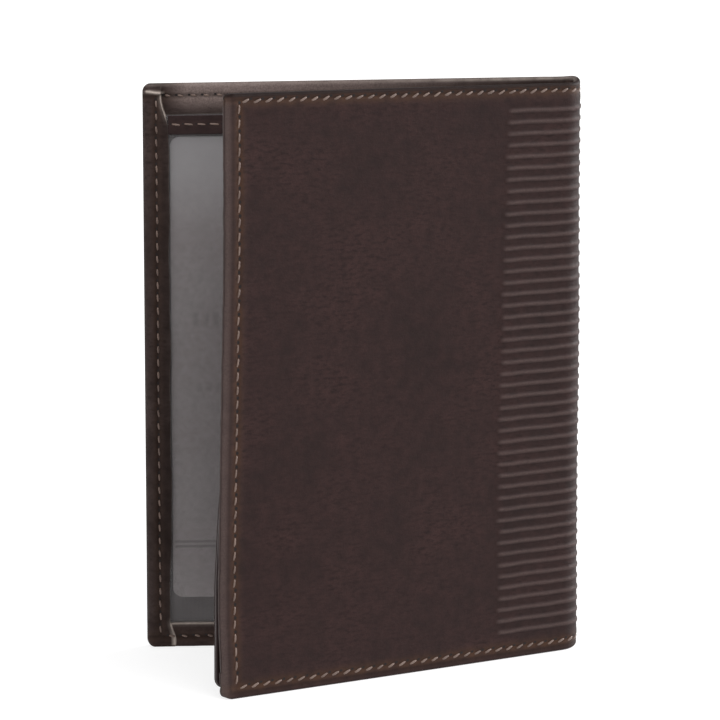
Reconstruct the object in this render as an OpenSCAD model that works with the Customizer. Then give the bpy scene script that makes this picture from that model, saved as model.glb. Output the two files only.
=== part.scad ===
// Leather passport holder, standing half open on its lower edges.
// A flexible spine joins two padded covers. A slip leaf hangs inside the spine, the front cover
// has a clear window pocket with a slide-in card, and the back cover has a passport pocket.
// Plan view: the spine's outermost point faces +X, the covers open towards -X, the back cover
// lies on the -Y side and the front cover on the +Y side. Heights run along +Z.

/* [Overall size] */
// Height of the covers and the spine
height = 140; // [136:1:170]
// Length of each flat cover, from the end of the spine's curve to its free edge
cover_length = 98.5; // [85:0.5:120]
// Thickness of each finished cover at its free edge
cover_thickness = 4; // [4:0.1:6]
// Half of the angle between the two covers as the holder stands
half_opening = 15.5; // [10:0.5:25]

/* [Spine] */
// Outer radius of the spine's curve
spine_radius = 8; // [7:0.1:10]
// Angle from the middle of the spine to each fold line
fold_angle = 40; // [35:1:45]
// Half of the slit that each fold line takes between the stiff solids
fold_slit = 0.5; // [0.4:0.05:0.7]

/* [Covers] */
// Thickness of the outer leather
leather = 1; // [0.8:0.1:1.2]
// Thickness of the stiffening board
board = 0.7; // [0.5:0.1:1]
// Thickness of the textile lining
lining = 0.4; // [0.3:0.1:0.5]
// Width of the leather turned in along the edges
hem_width = 6; // [5:0.5:8]
// Width of the front cover's upper turned-in edge
top_hem_width = 7.7; // [6:0.1:9]
// Radius of the covers' outer corners
corner_radius = 2; // [1.5:0.5:4]

/* [Front window pocket] */
// Height of the leather strip at the pocket's mouth
mouth_strip_height = 4.6; // [4:0.1:8]
// Width of the leather strip that closes the pocket beside the spine
side_strip_width = 6; // [5:0.5:9]
// Height of the card
card_height = 114.9; // [90:0.1:118]
// Sideways play of the card in its pocket
card_play = 3; // [0.5:0.5:15]
// Height of the card's lower edge above the holder's lower edge
card_base = 12; // [8:1:12]

/* [Back passport pocket] */
// Width of the pocket panel, from the free edge
pocket_width = 62; // [50:1:75]

/* [Slip leaf] */
// How far the leaf's free edge stops short of the covers' free edges
leaf_setback = 1.8; // [1.5:0.1:5]
// Gap between the leaf's foot and the level of the holder's lower edges
leaf_foot = 1; // [0.5:0.5:4]
// Gap between the leaf's top and the level of the holder's upper edges
leaf_margin = 2.5; // [1:0.5:4]
// Gap between the leaf's root and the back cover's hems as the holder stands
leaf_gap = 1; // [0.9:0.05:1.2]
// Angle at which the leaf stands off the back cover
leaf_lean = 1.5; // [0:0.1:2]
// Height of the mouth of the leaf's pocket above the holder's lower edge
leaf_mouth = 124; // [100:1:130]

/* [Hidden] */
$fn = 96;

eps = 0.01;
far = 300;                                  // longer than anything in the model
BACK = -1;
FRONT = 1;

// Depths are measured inwards from a cover's outer face.
turn = 1.2;                                 // thickness of the leather where it turns round an edge
hem_thin = 0.5;                             // turned-in leather pared thin
board_top = leather + board;
lining_top = board_top + lining;
layers_start = 2;                           // where a cover's board starts, past the spine's curve
rim_radius = cover_thickness / 2;           // the free edge is a half round

// Front cover: thin upper hem, card, film, then the hems and strips over the film
top_hem_top = board_top + hem_thin;
card_depth = top_hem_top + 0.15;
card_thickness = 0.35;
film_depth = card_depth + card_thickness + 0.15;
film_thickness = 0.35;
front_hem_depth = film_depth + film_thickness;
strip_thickness = 0.7;
window_start = 4;                           // the sleeve's edge beside the spine
sleeve_edge = 4.6;                          // width of the sleeve's sealed edges, hidden by leather

// Back cover: gap for the passport's cover, pocket panel, then the hems over it
pocket_gap_top = lining_top + 0.6;
pocket_top = pocket_gap_top + 0.6;
pocket_start = cover_length - pocket_width;
back_hem_start = 3;
pocket_seam = 2.8;                          // width of the pocket panel's doubled edge

// Leaf: three thin layers, the back skin nearest to the back cover
skin = 0.6;
core = 0.3;
leaf_thickness = 2 * skin + core;
leaf_corner = 2.5;
leaf_root_gap = 1.2;                        // the leaf starts this far from its fold axis

// Thread
thread = 0.4;                               // the thread is a square bar, flush with the leather
inset = 2.5;                                // from an edge to the middle of its stitch line

// The spine's curve is centred so that the bounding box is centred on X
curve_x = -(spine_radius * (1 + sin(half_opening))
            - (cover_length - rim_radius) * cos(half_opening)
            - rim_radius * (1 + sin(half_opening))) / 2;
fold_radius = spine_radius - leather / 2;   // the fold axes lie in the middle of the leather
slit_angle = asin(fold_slit / fold_radius);
curve_end = 90 - half_opening;              // where the curve meets the flat covers
fold_axis = [curve_x + fold_radius * cos(fold_angle), fold_radius * sin(fold_angle)];

// The leaf turns with the back cover, about its own axis in its own middle plane. Seen from the back
// fold the axis lies towards -X and +Y alike, so the gap to the cover closes up evenly at both limits.
fold_depth = spine_radius - fold_radius * cos(curve_end - fold_angle);
leaf_reach = (cover_thickness + leaf_gap + leaf_thickness / 2 - fold_depth)
             / (sin(half_opening) + cos(half_opening));
leaf_axis = [fold_axis[0] - leaf_reach, -fold_axis[1] + leaf_reach];
leaf_length = cover_length - leaf_setback
              + (leaf_axis[0] - curve_x - spine_radius * sin(half_opening)) * cos(half_opening)
              + (leaf_axis[1] + spine_radius * cos(half_opening)) * sin(half_opening);

// ---- helpers -------------------------------------------------------------------------------

// Puts a shape drawn in a cover's own axes (length, depth, height) on the back or front cover
module on_cover(side) {
    mirror([0, side < 0 ? 1 : 0, 0])
        translate([curve_x + spine_radius * sin(half_opening), spine_radius * cos(half_opening), 0])
            rotate([0, 0, 180 - half_opening])
                children();
}

// A box from one corner to the other
module slab(low, high) {
    translate(low) cube(high - low);
}

// A plate between two depths, with its two free corners rounded
module plate(start, end, depths, heights, corner) {
    translate([0, depths[1], 0])
        rotate([90, 0, 0])
            linear_extrude(depths[1] - depths[0])
                union() {
                    translate([start, heights[0]])
                        square([end - corner - start, heights[1] - heights[0]]);
                    translate([start, heights[0] + corner])
                        square([end - start, heights[1] - heights[0] - 2 * corner]);
                    for (h = [heights[0] + corner, heights[1] - corner])
                        translate([end - corner, h]) circle(corner);
                }
}

// A cover's full block, with a half-round free edge and rounded corners
module cover_block() {
    intersection() {
        plate(0, cover_length, [0, cover_thickness], [0, height], corner_radius);
        linear_extrude(height) {
            square([cover_length - rim_radius, cover_thickness]);
            translate([cover_length - rim_radius, rim_radius]) circle(rim_radius);
        }
    }
}

// Part of a cylinder wall round the spine's centre line, between two angles
module curve_sector(radii, angles, heights) {
    translate([curve_x, 0, heights[0]])
        linear_extrude(heights[1] - heights[0])
            intersection() {
                difference() {
                    circle(radii[1]);
                    circle(radii[0]);
                }
                polygon([
                    [0, 0],
                    [far * cos(angles[0]), far * sin(angles[0])],
                    [far, far * tan(angles[0] / 2 + angles[1] / 2)],
                    [far * cos(angles[1]), far * sin(angles[1])]
                ]);
            }
}

// The curved stretch between a fold line and a flat cover, in the cover's own axes
module cover_curve(depths, heights) {
    bend = curve_end - fold_angle - slit_angle;
    translate([0, spine_radius, heights[0]])
        linear_extrude(heights[1] - heights[0])
            intersection() {
                difference() {
                    circle(spine_radius - depths[0]);
                    circle(spine_radius - depths[1]);
                }
                polygon([[0, 0], [0, -far], [-far * sin(bend), -far * cos(bend)]]);
            }
}

// The stitch line along a cover's upper, free and lower edges, as a square bar
module edge_rows(start, end, depth, heights, rows = [0, 1]) {
    half = thread / 2;
    for (i = rows) {
        h = i == 0 ? heights[0] + inset : heights[1] - inset;
        slab([start, depth, h - half], [end - inset + half, depth + thread, h + half]);
    }
    slab([end - inset - half, depth, heights[0] + inset - half],
         [end - inset + half, depth + thread, heights[1] - inset + half]);
}

// ---- spine ---------------------------------------------------------------------------------

spine_angles = [-(fold_angle - slit_angle), fold_angle - slit_angle];

module spine_rows(grow = 0) {
    for (h = [inset, height - inset])
        curve_sector([spine_radius - thread, spine_radius + grow],
                     [spine_angles[0] - grow, spine_angles[1] + grow],
                     [h - thread / 2, h + thread / 2]);
}

module spine_leather() {
    color("#3b2b28")
        difference() {
            union() {
                curve_sector([spine_radius - leather, spine_radius], spine_angles, [0, height]);
                for (h = [0, height - hem_width])
                    curve_sector([spine_radius - leather - hem_thin, spine_radius - leather + eps],
                                 spine_angles, [h, h + hem_width]);
            }
            spine_rows(0.2);
        }
}

module spine_lining() {
    color("#2f2a2a")
        curve_sector([spine_radius - leather - lining, spine_radius - leather], spine_angles,
                     [hem_width, height - hem_width]);
}

module spine_thread() {
    color("#8a7166") spine_rows();
}

// A leather tab from the spine's lining to the leaf's fold axis
module leaf_hinge_tab() {
    tab = 0.8;
    inner_radius = spine_radius - leather - hem_thin;
    color("#3b2b28")
        translate([0, 0, leaf_foot])
            linear_extrude(height - leaf_foot - leaf_margin)
                intersection() {
                    translate([leaf_axis[0] + 0.9, leaf_axis[1] - tab / 2]) square([far, tab]);
                    translate([curve_x, 0]) circle(inner_radius);
                }
}

// ---- back cover ----------------------------------------------------------------------------

// Space inside the turned leather of the back cover, on each side of the pocket's edge
module back_hollow() {
    slab([layers_start, leather, turn], [cover_length - turn, lining_top, height - turn]);
    slab([pocket_start, lining_top - eps, turn], [cover_length - turn, pocket_top, height - turn]);
    slab([-eps, lining_top - eps, hem_width], [cover_length - hem_width, far, height - hem_width]);
    slab([-eps, leather, hem_width], [layers_start + eps, far, height - hem_width]);
    slab([-eps, lining_top + 0.7, -eps], [pocket_start - 0.8, far, height + eps]);
    slab([-eps, leather + hem_thin, -eps], [back_hem_start, far, height + eps]);
}

module back_cover_leather() {
    color("#3b2b28")
        on_cover(BACK)
            difference() {
                union() {
                    difference() {
                        cover_block();
                        back_hollow();
                    }
                    cover_curve([0, leather], [0, height]);
                    for (h = [0, height - hem_width])
                        cover_curve([leather - eps, leather + hem_thin], [h, h + hem_width]);
                }
                back_cover_rows(0.2);
            }
}

module back_cover_rows(grow = 0) {
    edge_rows(0, cover_length, 0, [0, height]);
    edge_rows(pocket_start + 1, cover_length, cover_thickness - thread, [0, height]);
    for (h = [inset, height - inset])
        cover_curve([-grow, thread], [h - thread / 2, h + thread / 2]);
}

module back_cover_thread() {
    color("#8a7166") on_cover(BACK) back_cover_rows();
}

module back_board() {
    color("#6b6257")
        on_cover(BACK)
            slab([layers_start, leather, turn], [cover_length - turn, board_top, height - turn]);
}

module back_lining() {
    color("#2f2a2a")
        on_cover(BACK) {
            slab([layers_start, board_top, turn], [cover_length - turn, lining_top, height - turn]);
            slab([0, leather, hem_width], [layers_start, leather + lining, height - hem_width]);
            slab([layers_start - lining, leather, hem_width],
                 [layers_start, lining_top, height - hem_width]);
            cover_curve([leather, leather + lining], [hem_width, height - hem_width]);
        }
}

// The panel is sewn down on three doubled edges, and open towards the spine
module passport_pocket() {
    far_end = cover_length - turn;
    row = pocket_start + 3;
    color("#43322e")
        on_cover(BACK)
            difference() {
                slab([pocket_start, lining_top, turn], [far_end, pocket_top, height - turn]);
                slab([pocket_start - eps, lining_top - eps, turn + pocket_seam],
                     [far_end - pocket_seam, pocket_gap_top, height - turn - pocket_seam]);
                slab([row - thread / 2, pocket_top - thread, hem_width],
                     [row + thread / 2, far, height - hem_width]);
            }
}

module passport_pocket_thread() {
    row = pocket_start + 3;
    color("#8a7166")
        on_cover(BACK)
            slab([row - thread / 2, pocket_top - thread, hem_width],
                 [row + thread / 2, pocket_top, height - hem_width]);
}

// ---- front cover ---------------------------------------------------------------------------

// Space inside the turned leather of the front cover. The upper hem is thin and lies on the board.
module front_hollow() {
    hem_edge = cover_length - hem_width;
    hem_base = height - top_hem_width;
    slab([layers_start, leather, turn], [cover_length - turn, board_top, height - turn]);
    slab([layers_start, board_top - eps, turn], [cover_length - turn, front_hem_depth, hem_base]);
    slab([-eps, front_hem_depth - eps, hem_width], [hem_edge, far, height + eps]);
    slab([-eps, top_hem_top, hem_base - eps], [hem_edge, far, height + eps]);
    slab([-eps, leather, hem_width], [layers_start + eps, far, height - hem_width]);
    slab([-eps, leather + hem_thin, -eps], [window_start, far, hem_width + eps]);
    slab([-eps, leather + hem_thin, height - top_hem_width], [layers_start, far, height + eps]);
}

module front_cover_leather() {
    color("#3b2b28")
        on_cover(FRONT)
            difference() {
                union() {
                    difference() {
                        cover_block();
                        front_hollow();
                    }
                    cover_curve([0, leather], [0, height]);
                    for (h = [0, height - hem_width])
                        cover_curve([leather - eps, leather + hem_thin], [h, h + hem_width]);
                }
                front_cover_rows(0.2);
            }
}

module front_cover_rows(grow = 0) {
    edge_rows(0, cover_length, 0, [0, height]);
    edge_rows(window_start + 1, cover_length, cover_thickness - thread, [0, height], [0]);
    slab([window_start, top_hem_top - thread + 0.1, height - inset - thread / 2],
         [cover_length - hem_width, top_hem_top, height - inset + thread / 2]);
    for (h = [inset, height - inset])
        cover_curve([-grow, thread], [h - thread / 2, h + thread / 2]);
}

module front_cover_thread() {
    color("#8a7166") on_cover(FRONT) front_cover_rows();
}

module front_board() {
    color("#6b6257")
        on_cover(FRONT)
            slab([layers_start, leather, turn], [cover_length - turn, board_top, height - turn]);
}

module front_lining() {
    hem_base = height - top_hem_width;
    color("#2f2a2a")
        on_cover(FRONT) {
            slab([layers_start, board_top, turn], [cover_length - turn, lining_top, hem_base]);
            slab([0, leather, hem_width], [layers_start, leather + lining, hem_base]);
            slab([layers_start - lining, leather, hem_width], [layers_start, lining_top, hem_base]);
            cover_curve([leather, leather + lining], [hem_width, height - hem_width]);
        }
}

window_top = height - top_hem_width - 0.2;   // the pocket's mouth, just under the upper hem

// Clear sheet whose sealed edges hold it off the lining on three sides
module window_film() {
    film_end = cover_length - turn;
    color("#8c8c90", 0.35)
        on_cover(FRONT)
            difference() {
                slab([window_start, lining_top, turn], [film_end, front_hem_depth, window_top]);
                slab([window_start + sleeve_edge, lining_top - eps, turn + sleeve_edge],
                     [film_end - sleeve_edge, film_depth, far]);
            }
}

module window_mouth_strip() {
    color("#33231f")
        on_cover(FRONT)
            difference() {
                slab([window_start, front_hem_depth, window_top - mouth_strip_height],
                     [cover_length - hem_width, front_hem_depth + strip_thickness, window_top]);
                window_mouth_row();
            }
}

// The stitch line lies nearer the strip's upper edge
module window_mouth_row() {
    row = window_top - 2.2;
    top = front_hem_depth + strip_thickness;
    slab([window_start + 0.8, top - thread, row - thread / 2],
         [cover_length - hem_width - 0.3, top, row + thread / 2]);
}

module window_mouth_thread() {
    color("#8a7166") on_cover(FRONT) window_mouth_row();
}

module window_side_strip() {
    color("#3b2b28")
        on_cover(FRONT)
            difference() {
                slab([window_start, front_hem_depth, hem_width],
                     [window_start + side_strip_width, front_hem_depth + strip_thickness,
                      window_top - mouth_strip_height]);
                window_side_row();
            }
}

module window_side_row() {
    row = window_start + side_strip_width / 2;
    top = front_hem_depth + strip_thickness;
    slab([row - thread / 2, top - thread, hem_width + 0.8],
         [row + thread / 2, top, window_top - mouth_strip_height - 0.8]);
}

module window_side_thread() {
    color("#8a7166") on_cover(FRONT) window_side_row();
}

// The card slides up and out between the lining and the clear sheet
module window_card() {
    card_end = cover_length - hem_width - 0.5;
    color("#bdbcbc")
        on_cover(FRONT)
            plate(window_start + sleeve_edge + card_play, card_end,
                  [card_depth, card_depth + card_thickness],
                  [card_base, card_base + card_height], 2.5);
}

// ---- slip leaf -----------------------------------------------------------------------------

leaf_heights = [leaf_foot, height - leaf_margin];
leaf_front = skin + core;                    // where the front skin starts

// Puts a shape drawn in the leaf's own axes (length from its fold axis, depth, height) in place
module on_leaf() {
    mirror([0, 1, 0])
        translate([leaf_axis[0], -leaf_axis[1], 0])
            rotate([0, 0, 180 - half_opening + leaf_lean])
                translate([0, -leaf_thickness / 2, 0])
                    children();
}

module leaf_plate(depths) {
    plate(leaf_root_gap, leaf_length, depths, leaf_heights, leaf_corner);
}

module leaf_rows() {
    row_start = leaf_root_gap + 1;
    edge_rows(row_start, leaf_length, 0, leaf_heights);
    edge_rows(row_start, leaf_length, leaf_thickness - thread, [leaf_foot, leaf_mouth + inset], [0]);
}

module leaf_mouth_row() {
    row = leaf_mouth - inset;
    slab([leaf_root_gap + 1, leaf_thickness - thread, row - thread / 2],
         [leaf_length - inset - 1, leaf_thickness, row + thread / 2]);
}

module leaf_back_skin() {
    color("#3b2b28")
        on_leaf()
            difference() {
                leaf_plate([0, skin]);
                leaf_rows();
            }
}

module leaf_core() {
    color("#2f2a2a") on_leaf() leaf_plate([skin, leaf_front]);
}

// The front skin stops at the mouth of the leaf's pocket
module leaf_front_skin() {
    color("#43322e")
        on_leaf()
            difference() {
                intersection() {
                    leaf_plate([leaf_front, leaf_thickness]);
                    slab([0, 0, 0], [far, far, leaf_mouth]);
                }
                leaf_rows();
                leaf_mouth_row();
            }
}

module leaf_thread() {
    color("#8a7166") on_leaf() leaf_rows();
}

module leaf_mouth_thread() {
    color("#8a7166") on_leaf() leaf_mouth_row();
}

// ---- nodes ---------------------------------------------------------------------------------

spine_leather();
spine_lining();
spine_thread();
leaf_hinge_tab();
back_cover_leather();
back_board();
back_lining();
passport_pocket();
passport_pocket_thread();
back_cover_thread();
front_cover_leather();
front_board();
front_lining();
window_film();
window_mouth_strip();
window_side_strip();
window_mouth_thread();
window_side_thread();
front_cover_thread();
leaf_back_skin();
leaf_core();
leaf_front_skin();
leaf_thread();
leaf_mouth_thread();
window_card();
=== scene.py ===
"""Looks of the leather passport holder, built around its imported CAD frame.

Shapes are worked out in millimetres and turned into metres where a mesh is made. A cover is drawn
flat, as (s, d, z): s runs along the leather's outer face from the middle of the spine to the free
edge, d is the depth inwards from that face, and z is the height. place() wraps it into position.
"""

import math

import bpy
import numpy as np
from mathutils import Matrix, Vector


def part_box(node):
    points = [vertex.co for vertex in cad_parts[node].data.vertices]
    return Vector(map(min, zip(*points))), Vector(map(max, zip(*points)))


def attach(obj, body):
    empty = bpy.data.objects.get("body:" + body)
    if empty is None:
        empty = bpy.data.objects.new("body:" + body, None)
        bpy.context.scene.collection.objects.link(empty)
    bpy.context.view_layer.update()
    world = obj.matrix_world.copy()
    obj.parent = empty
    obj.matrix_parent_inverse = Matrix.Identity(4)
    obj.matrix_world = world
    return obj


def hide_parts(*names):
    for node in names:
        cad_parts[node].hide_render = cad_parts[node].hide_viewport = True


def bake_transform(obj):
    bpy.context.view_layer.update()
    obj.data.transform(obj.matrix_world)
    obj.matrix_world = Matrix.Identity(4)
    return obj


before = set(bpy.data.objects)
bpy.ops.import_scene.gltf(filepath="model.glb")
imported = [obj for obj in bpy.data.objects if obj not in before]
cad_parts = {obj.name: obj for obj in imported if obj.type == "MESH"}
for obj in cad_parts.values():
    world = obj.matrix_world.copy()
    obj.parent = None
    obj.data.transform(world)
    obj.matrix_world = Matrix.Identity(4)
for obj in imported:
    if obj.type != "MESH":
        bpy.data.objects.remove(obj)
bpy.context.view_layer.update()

BACK, FRONT = -1, 1
MM = 0.001

# Sizes of the CAD frame, in millimetres
HEIGHT = 140.0
LENGTH = 98.5                      # flat part of a cover
HALF_OPENING = math.radians(15.5)
SPINE_RADIUS = 8.0
CURVE = SPINE_RADIUS * (math.pi / 2 - HALF_OPENING)   # half of the spine's curve, along the leather
END = CURVE + LENGTH
CENTRE_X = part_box("spine_leather")[1].x / MM - SPINE_RADIUS
CORNER = 2.0                       # radius of a cover's corners
THICKNESS = 4.0                    # of a cover at its free edge
LEAF_AXIS = (45.24515, -1.62727)
LEAF_TURN = math.radians(166)
LEAF_LENGTH = 98.7
LEAF_THICKNESS = 1.5
LEAF_INSET = 2.5                   # from the leaf's edges to its stitches
LEAF_LOW, LEAF_HIGH, LEAF_MOUTH = 1.0, 137.5, 124.0

# Depths of the layers inside the covers
LEATHER, BOARD_TOP = 1.0, 1.7
HEM_ROOT, TOP_HEM_DEPTH = 1.5, 2.2     # the turned-in leather at the spine, and on the front's top
CARD_DEPTH, CARD_TOP = 2.38, 2.66
FILM_DEPTH, FILM_TOP = 2.92, 3.18
POCKET_DEPTH, POCKET_TOP = 2.7, 3.25
STRIP_DEPTH, STRIP_TOP = FILM_TOP + 0.03, 3.95

# Places of the layers inside the covers
HEM, TOP_HEM = 6.0, 7.7            # how far the leather is turned in, and at the front's top
BOARD_INSET, POCKET_INSET = 1.5, 1.6
POCKET_START = 36.5                # the passport pocket's mouth, from the curve
WINDOW_START = CURVE + 4
STRIP_LOW, WINDOW_TOP = 127.5, 132.1

# Embossed ribs
RIB_FIRST, RIB_PITCH, RIB_COUNT = 6.8, 2.759, 47
RIB_HEIGHT = 0.36
RIB_REACH = ([6, 60, 90, 112, 134], [21.0, 21.2, 20.3, 19.1, 18.8])   # from the curve, by height

# Stitch lines: heights along the lower and upper edges, and lengths from the curve at the free ends
LOW_SEAM = 2.65
END_SEAM = {BACK: 95.4, FRONT: 95.2}
HIGH_SEAM = {BACK: 138.3, FRONT: 136.9}
STITCH_PITCH = 3.2

# Grid lines at an edge, from its outline inwards
RIM_STEPS = np.array([0, 0.03, 0.1, 0.22, 0.4, 0.65, 0.95, 1.2, 1.45, 1.7, 1.95, 2.2, 2.5])
BOARD_STEPS = np.array([0, 0.1, 0.3, 0.6, 1.2, 2.0])
CARD_STEPS = np.array([0, 0.1, 0.3, 0.8, 1.6, 2.5])
FILM_STEPS = np.array([0, 0.2, 0.6, 1.2])
MOUTH_STEPS = np.array([0, 0.03, 0.1, 0.2, 0.32, 0.5])
STRIP_STEPS = np.array([0, 0.03, 0.08, 0.16, 0.3, 0.6])


# ---- shapes --------------------------------------------------

def smooth(x):
    """A soft step from 0 to 1."""
    x = np.clip(x, 0, 1)
    return x * x * (3 - 2 * x)


def wave(x, seed, length):
    """A smooth random line between about -1 and 1, whose bumps are about length long."""
    rng = np.random.default_rng(seed)
    total = np.zeros_like(np.asarray(x, float))
    for _ in range(5):
        total = total + np.sin(x * 2 * math.pi / length / rng.uniform(0.6, 1.9)
                               + rng.uniform(0, 2 * math.pi))
    return total / 3


def wave2(x, y, seed, length):
    """The same over a surface."""
    rng = np.random.default_rng(seed)
    total = np.zeros_like(np.asarray(x, float))
    for _ in range(9):
        turn, size = rng.uniform(0, math.pi), length * rng.uniform(0.6, 1.8)
        total = total + np.sin((x * math.cos(turn) + y * math.sin(turn)) * 2 * math.pi / size
                               + rng.uniform(0, 2 * math.pi))
    return total / 4


# The back cover's free edge isn't straight: how far it bows inwards, by height
BOW_Z = np.linspace(0, HEIGHT, 281)
BOW = np.interp(BOW_Z, [0, 6, 18, 26, 46, 70, 100, 120, 140],
                [0.3, 0.7, 1.6, 1.6, 0.9, 0, -1.3, -1.5, -1.4])
SOFTEN = np.hanning(33)
BOW = np.convolve(np.pad(BOW, 16, mode="edge"), SOFTEN / SOFTEN.sum(), mode="valid")

# The upper edge rises across the spine, towards the front, then slopes down to the front cover's
# free corner. The spine's middle stands up at its top, and is lifted at its foot
RISE, SLOPE = 0.95, 1.35
SPINE_TOP, SPINE_FOOT = 0.45, 0.65
BACK_STRETCH, FRONT_STRETCH = 1.003, 0.002


def place(side):
    """The map from a flat cover to its place at rest."""
    def put(s, d, z):
        s, d, z = (np.asarray(v, float) for v in np.broadcast_arrays(s, d, z))
        u = np.maximum(s - CURVE, 0)
        share = z / HEIGHT
        z = (z + share * RISE * smooth((side * s + 9) / 12)
             + SPINE_TOP * np.exp(-(s / 4.5) ** 2) * smooth((z - 137) / 3)
             + SPINE_FOOT * np.exp(-(s / 5.0) ** 2) * smooth((3 - z) / 3))
        if side == BACK:
            d = d + np.interp(z, BOW_Z, BOW) * (u / LENGTH) ** 2
            u = u * BACK_STRETCH
        else:
            z = z - share * SLOPE * u / LENGTH
            u = u * (1 + FRONT_STRETCH * share)
        angle = np.minimum(s, CURVE) / SPINE_RADIUS
        radius = SPINE_RADIUS - d
        x = CENTRE_X + radius * np.cos(angle) - u * math.cos(HALF_OPENING)
        y = radius * np.sin(angle) + u * math.sin(HALF_OPENING)
        return np.stack([x, side * y, z], -1)
    put.flip = side == BACK
    return put


# The leaf's upper part leans towards the back cover, and is a little shorter
LEAF_BOW = np.interp(BOW_Z, [0, 25, 32, 47, 58, 77, 92, 112, 140],
                     [0, 0.1, 0.7, 1.5, 1.9, 2.6, 3.2, 3.7, 3.7])
LEAF_TAPER = 0.012


def on_leaf(s, d, z):
    """The map from the leaf's own axes (length from its axis, depth, height) to its place."""
    s, d, z = (np.asarray(v, float) for v in np.broadcast_arrays(s, d, z))
    s = s * (1 - LEAF_TAPER * smooth((z - 28) / 35))
    lean = np.interp(z, BOW_Z, LEAF_BOW) * (np.maximum(s, 0) / LEAF_LENGTH) ** 2
    side = d - LEAF_THICKNESS / 2 - lean
    x = LEAF_AXIS[0] + s * math.cos(LEAF_TURN) - side * math.sin(LEAF_TURN)
    y = LEAF_AXIS[1] - s * math.sin(LEAF_TURN) - side * math.cos(LEAF_TURN)
    return np.stack([x, y, z], -1)


on_leaf.flip = True


def rounded(cols, rows, radius, ends=(1,)):
    """A grid of lengths and heights with rounded corners at the named ends, each point's distance
    from the outline, and how far it belongs to an end (1) or to the upper or lower edge (0)."""
    s, z = np.meshgrid(cols, rows, indexing="ij")
    out_s, out_z = s.copy(), z.copy()
    distance = np.minimum(z - rows[0], rows[-1] - z)
    share = np.zeros_like(s)
    for way in ends:
        end = cols[-1] if way > 0 else cols[0]
        reach = (end - s) * way
        share[reach < distance] = 1
        distance = np.minimum(distance, reach)
    for way in ends:
        end = cols[-1] if way > 0 else cols[0]
        for level, up in ((rows[0], -1), (rows[-1], 1)):
            p, q = 1 - (end - s) * way / radius, 1 - (level - z) * up / radius
            inside = (p > 1e-9) & (q > 1e-9)
            p, q = p[inside], q[inside]
            most = np.maximum(p, q)
            turn = np.where(p >= q, math.pi / 4 * q / p, math.pi / 2 - math.pi / 4 * p / q)
            out_s[inside] = end - way * radius * (1 - most * np.cos(turn))
            out_z[inside] = level - up * radius * (1 - most * np.sin(turn))
            distance[inside] = radius * (1 - most)
            share[inside] = np.cos(turn) ** 2
    return out_s, out_z, np.maximum(distance, 0), share


def lines(low, high, step, fine=RIM_STEPS, at_low=True, at_high=True):
    """Grid lines from low to high, close together at the edges that are rounded."""
    a = low + fine if at_low else np.array([low])
    b = high - fine[::-1] if at_high else np.array([high])
    count = max(2, int(round((b[0] - a[-1]) / step)) + 1)
    return np.concatenate([a, np.linspace(a[-1], b[0], count)[1:-1], b])


def drop(distance, radius):
    """How far a rounded rim falls back at a distance from the outline."""
    rest = np.clip(radius - distance, 0, radius)
    return radius - np.sqrt(np.maximum(radius ** 2 - rest ** 2, 0))


def make(name, points, faces, materials, masks=None, kinds=None, crease=50):
    """A mesh object from points in millimetres."""
    mesh = bpy.data.meshes.new(name)
    mesh.from_pydata((points * MM).tolist(), [], faces)
    for material in materials:
        mesh.materials.append(material)
    if kinds is not None:
        mesh.polygons.foreach_set("material_index", np.asarray(kinds, np.int32))
    for key, values in (masks or {}).items():
        if values.ndim == 2:
            mesh.attributes.new(key, "FLOAT_VECTOR", "POINT").data.foreach_set(
                "vector", values.astype(np.float32).ravel())
        else:
            mesh.attributes.new(key, "FLOAT", "POINT").data.foreach_set(
                "value", values.astype(np.float32))
    mesh.shade_smooth()
    mesh.set_sharp_from_angle(angle=math.radians(crease))
    mesh.validate()
    obj = bpy.data.objects.new(name, mesh)
    bpy.context.scene.collection.objects.link(obj)
    return obj


def closed_sheet(name, put, outer, inner, materials, masks=None, crease=50):
    """A closed sheet between an outer and an inner face, each (s, d, z) on the same size of grid.
    Masks hold a pair of arrays, for the outer and the inner face."""
    count = outer[0].size
    order = np.arange(count).reshape(outer[0].shape)
    a, b, c, d = order[:-1, :-1], order[1:, :-1], order[1:, 1:], order[:-1, 1:]
    top = np.stack([a, b, c, d], -1).reshape(-1, 4)
    low = np.stack([d, c, b, a], -1).reshape(-1, 4) + count
    loop = np.concatenate([order[:, 0], order[-1, 1:], order[-2::-1, -1], order[0, -2:0:-1]])
    after = np.roll(loop, -1)
    wall = np.stack([loop, loop + count, after + count, after], -1)
    faces = np.concatenate([top, low, wall])
    if put.flip:
        faces = faces[:, ::-1]
    points = np.concatenate([put(*face).reshape(-1, 3) for face in (outer, inner)])
    flat = np.concatenate([np.stack([s, z, depth * np.ones_like(s)], -1).reshape(-1, 3)
                           for s, depth, z in (outer, inner)])
    found = {"flat": flat}
    for key, pair in (masks or {}).items():
        found[key] = np.concatenate([np.broadcast_to(v, outer[0].shape).ravel() for v in pair])
    return make(name, points, faces.tolist(), materials, found, crease=crease)


def bend(obj):
    """Bakes the piece's transform into its points."""
    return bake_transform(obj)


def finish_piece(obj, slot, *nodes):
    if nodes:
        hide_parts(*nodes)
    return obj


# ---- materials -----------------------------------------------

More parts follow.
